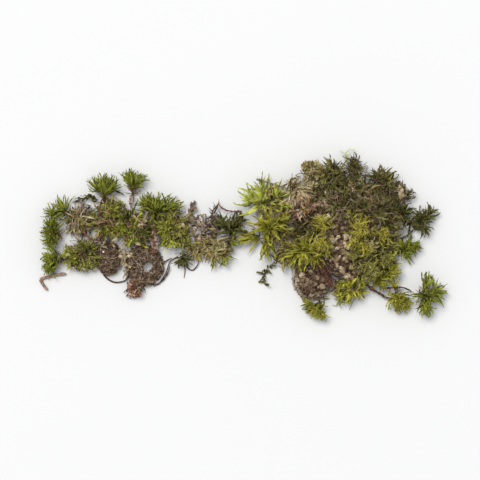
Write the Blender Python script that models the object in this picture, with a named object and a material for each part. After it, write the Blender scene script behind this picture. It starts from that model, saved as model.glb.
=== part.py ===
"""A clump of star moss as torn from the ground, lying on a flat surface.

A dense clod of sandy soil carries leafy shoots on its top and round its rim. A looser strand of
tufts, mats, small clods and dead stems trails away from it to -X, held on by one wiry stem.
Every tuft is a closed solid that reaches its leaf tips, and is cut back where a neighbour starts.
Lengths in the tables are millimetres. +X runs along the clump and +Z is up.
"""
import math

import bmesh
import bpy
from mathutils import Vector

MM = 0.001
GAP = 0.3 * MM  # clearance between neighbouring pieces
TUFT_SIDES, TUFT_RINGS = 12, 8
SOIL_SIDES, SOIL_RINGS = 24, 12
STEM_STEP = 0.6 * MM  # how closely a tuft is kept off a stem that runs past it
TIP_DEPTH = 0.18  # how far the outline of a tuft dips between leaf tips, as a share of its reach
SINK = 0.45  # share of a tuft's half height that is below the ground it stands on
SOIL_LIFT = 0.2  # height of a dome's widest level, as a share of its height
SOIL_DIP = 0.04  # depth of the hollows down the sides of a dome, as a share of its reach
CLEAR_OF_SOIL = 0.5  # least height of a tuft's middle over the soil, as a share of its half height
CLUMP = "moss_clump"

# sRGB hex colour and roughness of each material
MATERIALS = {
    "sandy_soil": ("6E5C48", 0.95),
    "bright_moss": ("7F8030", 0.6),
    "olive_moss": ("6B652F", 0.65),
    "dark_moss": ("4D4730", 0.75),
    "dead_leaf": ("8E7C5C", 0.8),
    "red_stem": ("5E4334", 0.6),
}

# Soil: middle x, y, half sizes x, y and height
SOIL = {
    "soil_clod": (31.5, 2.5, 15.0, 15.5, 10.5),
    "soil_lobe": (21.3, -12.8, 5.8, 5.6, 7.0),
    "grainy_clod": (-39.6, -6.0, 3.7, 4.9, 5.5),
    "root_mass": (-29.1, -8.2, 5.3, 5.6, 5.0),
}

# Tufts: middle x, y, half sizes x, y, z, material
TUFTS = {
    # shoots on the clod
    "bright_rosette_upper": (6.6, 10.4, 6.8, 6.6, 4.6, "bright_moss"),
    "bright_rosette_lower": (8.2, 2.4, 8.2, 6.6, 4.2, "bright_moss"),
    "star_rosette": (17.4, -3.6, 6.4, 6.6, 4.4, "bright_moss"),
    "curly_shoot_centre": (23.6, -3.2, 3.8, 4.6, 3.6, "bright_moss"),
    "curly_shoot_upper": (24.0, 3.6, 3.8, 4.0, 3.4, "bright_moss"),
    "curly_shoot_right": (34.6, 2.0, 4.0, 4.8, 3.6, "bright_moss"),
    "small_shoot_right": (41.6, 0.6, 3.6, 3.4, 3.0, "olive_moss"),
    "bright_shoot_corner": (43.9, -9.9, 4.8, 4.8, 4.0, "bright_moss"),
    "olive_shoot_corner": (37.6, -8.8, 4.2, 4.2, 3.6, "olive_moss"),
    "leafy_mat_bottom": (32.1, -14.6, 5.2, 4.9, 4.2, "olive_moss"),
    "hanging_tuft_left": (22.8, -21.9, 4.0, 4.1, 3.6, "bright_moss"),
    "hanging_tuft_middle": (46.8, -18.0, 3.5, 4.3, 3.4, "bright_moss"),
    "hanging_tuft_right": (56.4, -17.8, 4.8, 6.8, 4.0, "bright_moss"),
    "side_shoot_green": (49.8, -3.6, 3.9, 3.6, 3.4, "olive_moss"),
    "side_shoot_dark_outer": (54.9, 4.8, 4.0, 4.8, 3.4, "dark_moss"),
    "side_shoot_dark_inner": (48.3, 7.2, 3.4, 3.8, 3.4, "dark_moss"),
    "round_leaf_shoots": (21.4, 19.4, 4.8, 4.8, 4.0, "dark_moss"),
    "dark_mat_left": (27.4, 17.4, 4.6, 6.6, 4.0, "dark_moss"),
    "dark_mat_top": (33.6, 18.4, 4.6, 7.2, 4.2, "dark_moss"),
    "dark_mat_middle": (30.4, 9.8, 5.2, 4.8, 3.8, "dark_moss"),
    "dark_mat_right": (41.6, 17.0, 5.4, 6.0, 4.2, "dark_moss"),
    "dark_mat_low": (38.7, 8.4, 5.2, 4.2, 3.6, "dark_moss"),
    "dead_leaf_edge": (46.8, 12.6, 4.2, 3.6, 3.2, "dead_leaf"),
    "dry_frond": (18.3, 12.9, 4.6, 3.6, 3.0, "dead_leaf"),
    "red_dead_leaves": (18.9, 7.8, 6.0, 3.4, 2.8, "red_stem"),
    "red_stem_bundle": (26.4, -9.9, 3.0, 3.6, 2.4, "red_stem"),
    # the strand
    "tall_tuft_left": (-40.8, 15.3, 4.8, 4.4, 3.8, "bright_moss"),
    "tall_tuft_right": (-31.2, 17.2, 3.7, 4.0, 3.6, "bright_moss"),
    "pale_green_shoot": (-53.4, 8.7, 4.0, 3.6, 3.2, "bright_moss"),
    "dense_tuft_left": (-56.7, 1.5, 4.2, 4.2, 3.8, "bright_moss"),
    "dense_tuft_corner": (-56.8, -6.9, 4.4, 4.0, 3.6, "bright_moss"),
    "dead_leaf_mass": (-48.6, 5.6, 4.6, 4.4, 3.2, "dead_leaf"),
    "green_mat_upper": (-39.9, 5.4, 5.0, 5.8, 3.8, "olive_moss"),
    "green_mat_lower": (-46.8, -5.1, 6.0, 4.6, 3.6, "olive_moss"),
    "big_tuft": (-24.9, 9.9, 6.6, 5.8, 4.4, "bright_moss"),
    "green_mat_middle": (-31.8, 2.4, 4.8, 5.0, 3.8, "olive_moss"),
    "olive_mat": (-20.4, 3.3, 4.8, 5.4, 3.8, "olive_moss"),
    "red_round_leaves": (-31.8, -15.0, 2.6, 2.3, 2.0, "red_stem"),
    "grey_tangle": (-10.8, 3.0, 4.8, 4.4, 2.4, "dead_leaf"),
    "dark_shoot_link": (-3.0, 3.0, 4.0, 4.4, 3.6, "dark_moss"),
    "dark_shoot_low": (-17.9, -6.2, 3.0, 2.8, 2.6, "dark_moss"),
    "yellow_green_mat": (-9.9, -3.0, 9.6, 3.6, 3.0, "olive_moss"),
}

# Stems: radius and the points x, y, z of the middle line
STEMS = {
    "stem_middle_tuft": (0.55, [
        (38.6, -14.6, 2.2), (40.2, -15.9, 1.8), (42.6, -17.2, 1.6), (43.2, -18.0, 1.5),
    ]),
    "stem_right_tuft": (0.45, [
        (41.4, -14.8, 2.6), (44.1, -15.0, 4.2), (48.3, -14.4, 3.6), (51.8, -16.4, 2.4),
    ]),
    "stem_dark_side": (0.4, [
        (45.6, -0.1, 2.8), (48.3, 0.0, 1.8), (50.7, 1.2, 1.4), (51.9, 3.0, 1.6),
    ]),
    "grass_twig": (0.4, [
        (4.2, 17.7, 6.4), (7.5, 16.8, 6.6), (11.1, 15.6, 6.8), (14.1, 14.4, 7.0),
    ]),
    "fallen_sprig": (0.9, [
        (11.1, -6.0, 2.0), (9.3, -7.8, 1.5), (7.8, -9.0, 1.2), (6.6, -11.1, 1.1), (7.2, -14.4, 1.0),
    ]),
    "link_stem": (0.4, [
        (0.6, 7.9, 3.4), (-2.4, 7.9, 2.8), (-4.8, 8.4, 2.6), (-6.3, 9.6, 3.4), (-6.8, 10.4, 3.6),
        (-7.3, 9.3, 2.6), (-8.1, 7.0, 1.6),
    ]),
    "stem_tall_tuft": (0.6, [
        (-32.8, 13.3, 2.2), (-33.2, 11.4, 2.4), (-33.0, 9.6, 2.8), (-32.2, 7.6, 3.0),
    ]),
    "bent_dead_stalk": (0.5, [
        (-52.4, -10.6, 1.0), (-55.8, -11.1, 0.9), (-59.9, -12.0, 0.8), (-60.2, -12.6, 0.8),
        (-59.0, -14.4, 0.7), (-58.0, -15.6, 0.7),
    ]),
    "pale_strap": (0.7, [
        (-35.1, -1.2, 3.6), (-34.9, -4.8, 4.2), (-34.5, -8.7, 3.4), (-33.9, -12.0, 1.4),
    ]),
    "red_brown_stem": (0.7, [
        (-25.9, 3.9, 4.6), (-25.9, 0.6, 4.4), (-25.6, -2.6, 4.2), (-25.9, -4.6, 3.6),
    ]),
    "wiry_stem": (0.35, [
        (-26.4, -14.6, 0.7), (-23.7, -13.1, 0.8), (-21.9, -10.6, 1.0), (-21.2, -8.1, 1.6),
    ]),
    "dead_branching_stem": (0.55, [
        (-14.9, 11.0, 1.4), (-14.8, 8.7, 1.6), (-15.1, 6.6, 1.8), (-16.0, 4.4, 1.8),
    ]),
}


def place(x, y, z=0.0):
    """A point of the tables, in metres."""
    return Vector((x, y, z)) * MM


def linear(hex_colour):
    """An sRGB hex colour as linear red, green, blue and alpha."""
    channels = [int(hex_colour[i : i + 2], 16) / 255 for i in (0, 2, 4)]
    return [c / 12.92 if c <= 0.04045 else ((c + 0.055) / 1.055) ** 2.4 for c in channels] + [1.0]


def make_material(name):
    """The named Principled material, made once."""
    if name in bpy.data.materials:
        return bpy.data.materials[name]
    colour, roughness = MATERIALS[name]
    material = bpy.data.materials.new(name)
    material.use_nodes = True
    shader = material.node_tree.nodes["Principled BSDF"]
    shader.inputs["Base Color"].default_value = linear(colour)
    shader.inputs["Roughness"].default_value = roughness
    shader.inputs["Metallic"].default_value = 0.0
    return material


def add_object(name, mesh, material):
    """The mesh or curve as an object of the clump."""
    mesh.materials.append(make_material(material))
    ob = bpy.data.objects.new(name, mesh)
    clump.objects.link(ob)
    return ob


def reach_along(half, direction):
    """How far an ellipsoid with these half sizes reaches along a unit direction."""
    return 1 / math.sqrt(sum((d / h) ** 2 for d, h in zip(direction, half)))


def soil_place(row):
    """The middle and half sizes of the ellipsoid that a soil dome is cut from."""
    x, y, half_x, half_y, top = row
    return place(x, y, top * SOIL_LIFT), place(half_x, half_y, top * (1 - SOIL_LIFT))


def ground_height(x, y):
    """The height of the soil at a place in millimetres, 0 beside it."""
    height = 0.0
    for mid_x, mid_y, half_x, half_y, top in SOIL.values():
        inside = 1 - ((x - mid_x) / half_x) ** 2 - ((y - mid_y) / half_y) ** 2
        if inside > 0:
            height = max(height, top * (SOIL_LIFT + (1 - SOIL_LIFT) * math.sqrt(inside)))
    return height


def soil_plane(row, middle):
    """The plane that touches a soil dome on the side where a tuft stands: its normal and a point on it."""
    dome, half = soil_place(row)
    offset = middle - dome
    touch = offset.normalized() * reach_along(half, offset.normalized())
    normal = Vector((touch.x / half.x**2, touch.y / half.y**2, touch.z / half.z**2)).normalized()
    return normal, dome + touch


def along(points):
    """Points at every STEM_STEP along a stem's middle line."""
    found = []
    for a, b in zip(points, points[1:]):
        count = math.ceil((b - a).length / STEM_STEP)
        found += [a.lerp(b, i / count) for i in range(count)]
    return found + [points[-1]]


def stem_limits(middle, far):
    """Planes that keep a solid round this middle off the stems within its reach."""
    limits = []
    for radius, points in STEMS.values():
        for point in along([place(*p) for p in points]):
            offset = point - middle
            if offset.length < far + radius * MM + GAP:
                limits.append((offset.normalized(), offset.length - radius * MM - GAP))
    return limits


def neighbour_limit(middle, half, other_middle, other_half):
    """The plane between two solids, placed by how far each reaches towards the other, less half the gap."""
    offset = other_middle - middle
    normal = offset.normalized()
    own, other = reach_along(half, normal), reach_along(other_half, normal)
    return normal, offset.length * own / (own + other) - GAP / 2


def solid_in_cell(name, middle, half, limits, sides, rings, dip, material):
    """A rounded solid whose every vertex is drawn in to its limits, so that all of it stays inside them."""
    bm = bmesh.new()
    bmesh.ops.create_uvsphere(bm, u_segments=sides, v_segments=rings, radius=1)
    for vertex in bm.verts:
        direction = Vector(a * b for a, b in zip(vertex.co, half)).normalized()
        tip = 0.5 + 0.5 * math.cos(math.atan2(vertex.co.y, vertex.co.x) * sides / 2)
        reach = reach_along(half, direction) * (1 - dip * (1 - tip))
        for normal, limit in limits:
            towards = normal.dot(direction)
            if towards > 0:
                reach = min(reach, limit / towards)
        vertex.co = middle + direction * reach
    bmesh.ops.triangulate(bm, faces=bm.faces)
    mesh = bpy.data.meshes.new(name)
    bm.to_mesh(mesh)
    bm.free()
    mesh.shade_smooth()
    return add_object(name, mesh, material)


def add_soil(name):
    """A dome of soil, cut off flat at the surface that it lies on, with hollows pressed into its skin."""
    middle, half = soil_place(SOIL[name])
    limits = [(Vector((0, 0, -1)), middle.z)] + stem_limits(middle, max(half))
    for other, row in SOIL.items():
        other_middle, other_half = soil_place(row)
        if other != name and (other_middle - middle).length < max(half) + max(other_half) + GAP:
            limits.append(neighbour_limit(middle, half, other_middle, other_half))
    return solid_in_cell(name, middle, half, limits, SOIL_SIDES, SOIL_RINGS, SOIL_DIP, "sandy_soil")


def tuft_place(row):
    """The middle and half sizes of a tuft. It stands on the soil or on the surface under it."""
    x, y, half_x, half_y, half_z = row[:5]
    middle = place(x, y, ground_height(x, y) + half_z * (1 - SINK))
    for soil in SOIL.values():
        normal, touch = soil_plane(soil, middle)
        middle += normal * max(0.0, half_z * CLEAR_OF_SOIL * MM - (middle - touch).dot(normal))
    return middle, place(half_x, half_y, half_z)


def add_tuft(name):
    """One tuft, mat or patch of leaves, as a solid that reaches the leaf tips."""
    middle, half = tuft_place(TUFTS[name])
    limits = [(Vector((0, 0, -1)), middle.z)] + stem_limits(middle, max(half))
    for other, row in TUFTS.items():
        other_middle, other_half = tuft_place(row)
        if other != name and (other_middle - middle).length < max(half) + max(other_half) + GAP:
            limits.append(neighbour_limit(middle, half, other_middle, other_half))
    for soil in SOIL.values():
        normal, touch = soil_plane(soil, middle)
        limits.append((-normal, (middle - touch).dot(normal) - GAP))
    return solid_in_cell(name, middle, half, limits, TUFT_SIDES, TUFT_RINGS, TIP_DEPTH, TUFTS[name][5])


def add_stem(name):
    """A wiry stem: a round tube with closed ends along its middle line."""
    radius, points = STEMS[name]
    curve = bpy.data.curves.new(name, "CURVE")
    curve.dimensions = "3D"
    curve.bevel_depth = radius * MM
    curve.bevel_resolution = 2
    curve.use_fill_caps = True
    spline = curve.splines.new("POLY")
    spline.points.add(len(points) - 1)
    for point, spot in zip(spline.points, points):
        point.co = (*place(*spot), 1)
    return add_object(name, curve, "dead_leaf" if name in ("grass_twig", "pale_strap") else "red_stem")


def centre_on_origin():
    """Moves the clump so that the middle of the surface it lies on is the origin."""
    bpy.context.view_layer.update()
    corners = [ob.matrix_world @ Vector(corner) for ob in clump.objects for corner in ob.bound_box]
    low = Vector(min(corner[axis] for corner in corners) for axis in range(3))
    high = Vector(max(corner[axis] for corner in corners) for axis in range(3))
    for ob in clump.objects:
        ob.location -= Vector(((low.x + high.x) / 2, (low.y + high.y) / 2, low.z))


for ob in list(bpy.data.objects):
    bpy.data.objects.remove(ob)
clump = bpy.data.collections.new(CLUMP)
bpy.context.scene.collection.children.link(clump)
for name in SOIL:
    add_soil(name)
for name in TUFTS:
    add_tuft(name)
for name in STEMS:
    add_stem(name)
centre_on_origin()
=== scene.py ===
import math
import random

import bmesh
import bpy
import numpy as np
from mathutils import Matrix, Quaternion, Vector, noise
from mathutils.bvhtree import BVHTree


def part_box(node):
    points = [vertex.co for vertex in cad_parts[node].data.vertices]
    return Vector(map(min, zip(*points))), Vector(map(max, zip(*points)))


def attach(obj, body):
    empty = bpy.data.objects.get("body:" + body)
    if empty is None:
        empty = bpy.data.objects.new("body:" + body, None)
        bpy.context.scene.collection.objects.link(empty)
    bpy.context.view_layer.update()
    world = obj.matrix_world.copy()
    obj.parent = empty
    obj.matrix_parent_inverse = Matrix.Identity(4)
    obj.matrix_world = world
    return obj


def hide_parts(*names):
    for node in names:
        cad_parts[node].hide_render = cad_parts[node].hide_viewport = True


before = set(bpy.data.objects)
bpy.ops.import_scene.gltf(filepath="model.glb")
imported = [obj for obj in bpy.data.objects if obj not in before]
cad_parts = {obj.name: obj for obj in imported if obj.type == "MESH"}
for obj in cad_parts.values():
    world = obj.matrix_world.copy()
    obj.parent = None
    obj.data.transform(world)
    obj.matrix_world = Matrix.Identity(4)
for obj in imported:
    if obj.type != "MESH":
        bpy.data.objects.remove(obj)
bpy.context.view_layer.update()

MM = 0.001

# ---------------------------------------------------------------------------------------------
# The table top and the light: a sheet of smooth white board under a soft window-sized light from
# the upper left and pale light from all round, so that shadows are short and grey.
BOARD_WHITE = "D2D2D2"
BOARD_SIZE = 8.0
WINDOW_SIZE, WINDOW_POWER = 2.4, 240.0
WINDOW_PLACE = (-1.1, 1.5, 4.9)
ROOM_LIGHT = 0.74
CAMERA_HEIGHT, CAMERA_REACH = 0.9, 20
VIEW_WIDTH = 144 * MM
SENSOR = 36.0
AIM = (-0.3 * MM, -0.9 * MM)
GLOSSY, DULL = 0.5, 0.2


def linear(hex_colour):
    """An sRGB hex colour as linear red, green, blue and alpha."""
    channels = [int(hex_colour[i : i + 2], 16) / 255 for i in (0, 2, 4)]
    return (*[c / 12.92 if c <= 0.04045 else ((c + 0.055) / 1.055) ** 2.4 for c in channels], 1.0)


def add_node(tree, kind, inputs=None, **settings):
    """Adds a node with its settings. Each input is given a value, or the output socket that feeds it."""
    node = tree.nodes.new(kind)
    for name, value in settings.items():
        setattr(node, name, value)
    for socket, value in (inputs or {}).items():
        if isinstance(value, bpy.types.NodeSocket):
            tree.links.new(value, node.inputs[socket])
        else:
            node.inputs[socket].default_value = value
    return node


def new_material(name):
    """A material with its node tree emptied."""
    material = bpy.data.materials.new(name)
    material.use_nodes = True
    material.node_tree.nodes.clear()
    return material, material.node_tree


def speckle(tree, size, detail=3.0, roughness=0.55):
    """Noise whose lumps are about this size, read in the piece's own coordinates."""
    where = add_node(tree, "ShaderNodeTexCoord").outputs["Object"]
    settings = {"Vector": where, "Scale": 1 / size, "Detail": detail, "Roughness": roughness}
    return add_node(tree, "ShaderNodeTexNoise", settings).outputs["Fac"]


def colour_ramp(tree, factor, stops):
    """A ramp through (position, hex colour) stops."""
    node = add_node(tree, "ShaderNodeValToRGB", {"Fac": factor})
    ramp = node.color_ramp
    while len(ramp.elements) < len(stops):
        ramp.elements.new(0.5)
    for element, (position, colour) in zip(ramp.elements, stops):
        element.position = position
        element.color = linear(colour)
    return node.outputs["Color"]


def surface(tree, colour, rough, height, strength, depth, shine=DULL):
    """A surface of one colour, with the height as relief of this strength and depth."""
    bump = add_node(tree, "ShaderNodeBump", {"Height": height, "Strength": strength, "Distance": depth})
    return add_node(tree, "ShaderNodeBsdfPrincipled", {
        "Base Color": colour, "Roughness": rough, "Specular IOR Level": shine, "Normal": bump.outputs[0],
    }).outputs[0]


board, tree = new_material("white_board")
paint = surface(tree, linear(BOARD_WHITE), 0.7, speckle(tree, 2.0 * MM), 0.02, 0.1 * MM, GLOSSY)
add_node(tree, "ShaderNodeOutputMaterial", {"Surface": paint})
bpy.ops.mesh.primitive_plane_add(size=BOARD_SIZE)
table = bpy.context.object
table.name = "table_top"
table.data.materials.append(board)

room = bpy.data.worlds.new("room")
room.use_nodes = True
sky = room.node_tree.nodes["Background"].inputs
sky["Color"].default_value = linear("F6F9FF")
sky["Strength"].default_value = ROOM_LIGHT
bpy.context.scene.world = room
window = bpy.data.objects.new("window_light", bpy.data.lights.new("window_light", "AREA"))
window.data.shape = "DISK"
window.data.size = WINDOW_SIZE
window.data.energy = WINDOW_POWER
window.data.color = linear("FFFDF8")[:3]
window.location = WINDOW_PLACE
window.rotation_euler = (-Vector(WINDOW_PLACE)).to_track_quat("-Z", "Y").to_euler()
bpy.context.scene.collection.objects.link(window)

camera = bpy.data.objects.new("camera", bpy.data.cameras.new("camera"))
camera.data.sensor_width = SENSOR
camera.data.lens = SENSOR * CAMERA_HEIGHT / VIEW_WIDTH
camera.location = (*AIM, CAMERA_HEIGHT)
camera.data.clip_end = CAMERA_REACH
bpy.context.scene.collection.objects.link(camera)
bpy.context.scene.camera = camera
bpy.context.scene.view_settings.view_transform = "Standard"

# ---------------------------------------------------------------------------------------------
# The earth: crumbly sandy soil held together by rhizoids. Each clod is a lumpy body with loose
# crumbs, sand and a few pale quartz grains stuck all over it, and fine brown threads through it.
SETTLE = 0.15 * MM  # how softly what would sink into the table is pressed flat on it
CLEAR_OF_TABLE = 20  # heights above this many times SETTLE are left as they are
ROUNDING = 3
LUMPS = ((3.2 * MM, 1.1 * MM), (1.3 * MM, 0.5 * MM), (0.5 * MM, 0.22 * MM))  # size and height of each
UNSEEN = bpy.data.collections.new("unseen")


def settle(mesh):
    """Presses what reaches below the table's surface flat on it, without folding it over."""
    places = np.empty(len(mesh.vertices) * 3, np.float32)
    mesh.vertices.foreach_get("co", places)
    heights = places[2::3] / SETTLE
    pressed = np.log1p(np.exp(np.minimum(heights, CLEAR_OF_TABLE)))
    places[2::3] = np.where(heights > CLEAR_OF_TABLE, heights, pressed) * SETTLE
    mesh.vertices.foreach_set("co", places)
    mesh.update()
    return mesh


def show(name, mesh):
    """The mesh as an object in the scene."""
    piece = bpy.data.objects.new(name, mesh)
    bpy.context.scene.collection.objects.link(piece)
    return piece


def leave(name, mesh, node):
    """Shows a finished piece and hands it to the frame: it rides on the clump and stands for its solid."""
    piece = show(name, mesh)
    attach(piece, "root")
    if node:
        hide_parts(node)


def shares_of(place, low, high):
    """A place as shares of a box."""
    return [(p - l) / (h - l) for p, l, h in zip(place, low, high)]


def cover_where(mesh, node=None, rule=None):
    """Stores how thickly each part of a surface is strewn, from 0 to 1: fully, or by a rule that is given the
    place as shares of a CAD solid's box."""
    share = np.ones(len(mesh.vertices), np.float32)
    if rule:
        low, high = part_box(node)
        for number, vertex in enumerate(mesh.vertices):
            share[number] = rule(*shares_of(vertex.co, low, high))
    if "cover" not in mesh.attributes:
        mesh.attributes.new("cover", "FLOAT", "POINT")
    mesh.attributes["cover"].data.foreach_set("value", share)


def merged(node):
    """A working copy of a CAD solid's mesh with its loose triangles joined up."""
    bm = bmesh.new()
    bm.from_mesh(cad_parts[node].data)
    bmesh.ops.remove_doubles(bm, verts=bm.verts, dist=0.001 * MM)
    return bm


def mesh_of(name, bm):
    """A working copy turned into a mesh."""
    mesh = bpy.data.meshes.new(name)
    bm.to_mesh(mesh)
    bm.free()
    return mesh


def evaluated(piece):
    """The plain mesh of an object with its modifiers applied, and the object gone."""
    mesh = bpy.data.meshes.new_from_object(piece.evaluated_get(bpy.context.evaluated_depsgraph_get()))
    bpy.data.objects.remove(piece)
    return mesh


def roughened(node, name, material, shrink=0.0, lumps=LUMPS, levels=ROUNDING, seed=0.0):
    """A lumpy mesh from a CAD solid: its faces rounded, drawn in by a length and pushed about by noise."""
    body = show(name, mesh_of(name, merged(node)))
    smooth = body.modifiers.new("rounding", "SUBSURF")
    smooth.levels = smooth.render_levels = levels
    mesh = evaluated(body)
    shift = Vector((seed, seed * 1.7, seed * 0.6))
    moves = []
    for vertex in mesh.vertices:
        push = sum(height * noise.noise(vertex.co / size + shift) for size, height in lumps) - shrink
        moves.append(vertex.co + vertex.normal * push)
    for vertex, place in zip(mesh.vertices, moves):
        vertex.co = place
    mesh.materials.clear()
    mesh.materials.append(material)
    mesh.shade_smooth()
    cover_where(settle(mesh))
    return show(name, mesh)


def spot(node, shares):
    """The place at these shares of a CAD solid's box."""
    low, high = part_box(node)
    return Vector(l + (h - l) * share for l, h, share in zip(low, high, shares))


def crawl(node, count, steps, stride, wander, lift, seed, avoid=None):
    """Routes of threads that creep about on a CAD solid, each from a place of its own, off the spots that the
    rule called avoid picks by their shares of the solid's box."""
    bm = merged(node)
    skin = BVHTree.FromBMesh(bm)
    bm.free()
    low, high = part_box(node)
    rng = random.Random(seed)
    routes = []
    while len(routes) < count:
        place, normal, *_ = skin.find_nearest(spot(node, [rng.random() for _ in range(3)]))
        way = Vector((rng.gauss(0, 1), rng.gauss(0, 1), rng.gauss(0, 0.5)))
        route = []
        for _ in range(steps):
            way = (way - normal * way.dot(normal)).normalized()
            way = Quaternion(normal, rng.gauss(0, wander)) @ way
            place, normal, *_ = skin.find_nearest(place + way * stride)
            route.append(place + normal * lift * rng.uniform(-0.6, 1.0))
            if avoid and avoid(*shares_of(place, low, high)):
                break
        if len(route) > 3:
            routes.append(route)
    return routes


def eased(points, per_leg=6):
    """A smooth route through points, with this many steps from each to the next."""
    ends = [points[0] * 2 - points[1], *points, points[-1] * 2 - points[-2]]
    route = []
    for before, start, end, after in zip(ends, ends[1:], ends[2:], ends[3:]):
        for step in range(per_leg):
            t = step / per_leg
            route.append(0.5 * (2 * start + (end - before) * t
                                + (2 * before - 5 * start + 4 * end - after) * t**2
                                + (3 * start - before - 3 * end + after) * t**3))
    return [*route, points[-1]]


def line_through(node, *places):
    """A smooth line through places given as shares of a CAD solid's box."""
    return eased([spot(node, place) for place in places])


def threads(name, routes, radius, material, taper=0.6, sides=0):
    """Round threads along routes, each thinner towards its end, as one closed mesh."""
    curve = bpy.data.curves.new(name, "CURVE")
    curve.dimensions = "3D"
    curve.bevel_depth = radius
    curve.bevel_resolution = sides
    curve.use_fill_caps = True
    for route in routes:
        spline = curve.splines.new("POLY")
        spline.points.add(len(route) - 1)
        for number, (point, place) in enumerate(zip(spline.points, route)):
            point.co = (*place, 1)
            point.radius = 1 - taper * number / (len(route) - 1)
    mesh = evaluated(show(name, curve))
    bm = bmesh.new()
    bm.from_mesh(mesh)
    bmesh.ops.remove_doubles(bm, verts=bm.verts, dist=0.002 * MM)
    bmesh.ops.recalc_face_normals(bm, faces=bm.faces)
    bm.to_mesh(mesh)
    bm.free()
    mesh.materials.clear()
    mesh.materials.append(material)
    mesh.shade_smooth()
    return settle(mesh)


def crumb(name, squash, seed):
    """One grain about 1 unit across, with the flats and blunt corners of broken sand."""
    rng = random.Random(seed)
    bm = bmesh.new()
    bmesh.ops.create_icosphere(bm, subdivisions=1, radius=0.5)
    for vertex in bm.verts:
        vertex.co *= rng.uniform(0.75, 1.15)
        vertex.co.z *= squash
    return kept_out(name, mesh_of(name, bm))


def kept_out(name, mesh):
    """A shape to copy from, held in a collection that the scene doesn't show."""
    shape = bpy.data.objects.new(name, mesh)
    UNSEEN.objects.link(shape)
    return shape


def kinds_of(name, shapes):
    """A collection of shapes for a scatter to draw from."""
    group = bpy.data.collections.new(name)
    for shape in shapes:
        group.objects.link(shape)
    return group


def node_group(name, **sockets):
    """A Geometry Nodes tree whose inputs are a mesh and these, under their kind, and those inputs' sockets."""
    tree = bpy.data.node_groups.new(name, "GeometryNodeTree")
    for kind, names in {"Geometry": ["Geometry"], **sockets}.items():
        for socket in names:
            tree.interface.new_socket(name=socket, in_out="INPUT", socket_type=f"NodeSocket{kind}")
    tree.interface.new_socket(name="Geometry", in_out="OUTPUT", socket_type="NodeSocketGeometry")
    return tree, add_node(tree, "NodeGroupInput").outputs


def maths(tree, operation, *values, **settings):
    """The result of a sum on values or sockets."""
    node = add_node(tree, "ShaderNodeMath", dict(enumerate(values)), operation=operation, **settings)
    return node.outputs[0]


def graded(tree, value, low, high, least=0.0, most=1.0):
    """A value read between two marks as one between two others, and held there."""
    return add_node(tree, "ShaderNodeMapRange", {0: value, 1: low, 2: high, 3: least, 4: most}).outputs[0]


def chance(tree, low, high, seed):
    """A number between two others for each thing, drawn at random."""
    inputs = {2: low, 3: high, "Seed": seed}
    return add_node(tree, "FunctionNodeRandomValue", inputs, data_type="FLOAT").outputs[1]


def chance_vector(tree, low, high, seed):
    """A vector between two others for each thing, drawn at random."""
    inputs = {0: low, 1: high, "Seed": seed}
    return add_node(tree, "FunctionNodeRandomValue", inputs, data_type="FLOAT_VECTOR").outputs[0]


def scaled(tree, vector, length):
    """A vector times a number."""
    inputs = {0: vector, "Scale": length}
    return add_node(tree, "ShaderNodeVectorMath", inputs, operation="SCALE").outputs[0]


def facing(tree, way, turn):
    """The rotation that stands a shape along a direction and then turns it about its own axes."""
    stand = add_node(tree, "FunctionNodeAlignRotationToVector", {"Vector": way}, axis="Z").outputs[0]
    own = add_node(tree, "FunctionNodeEulerToRotation", {0: turn}).outputs[0]
    return add_node(tree, "FunctionNodeRotateRotation", {0: stand, 1: own}, rotation_space="LOCAL").outputs[0]


def shapes_in(tree, collection):
    """The shapes of a collection to choose from."""
    inputs = {"Collection": collection, "Separate Children": True, "Reset Children": True}
    return add_node(tree, "GeometryNodeCollectionInfo", inputs).outputs[0]


def tinted(tree, copies, name, tint):
    """Copies that each carry a tint of their own under this name."""
    inputs = {"Geometry": copies, "Name": name, "Value": tint}
    settings = {"data_type": "FLOAT", "domain": "INSTANCE"}
    return add_node(tree, "GeometryNodeStoreNamedAttribute", inputs, **settings).outputs[0]


def made_real(tree, copies, material):
    """Copies turned into plain mesh of one material."""
    real = add_node(tree, "GeometryNodeRealizeInstances", {"Geometry": copies}).outputs[0]
    return add_node(tree, "GeometryNodeSetMaterial", {"Geometry": real, "Material": material}).outputs[0]


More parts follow.
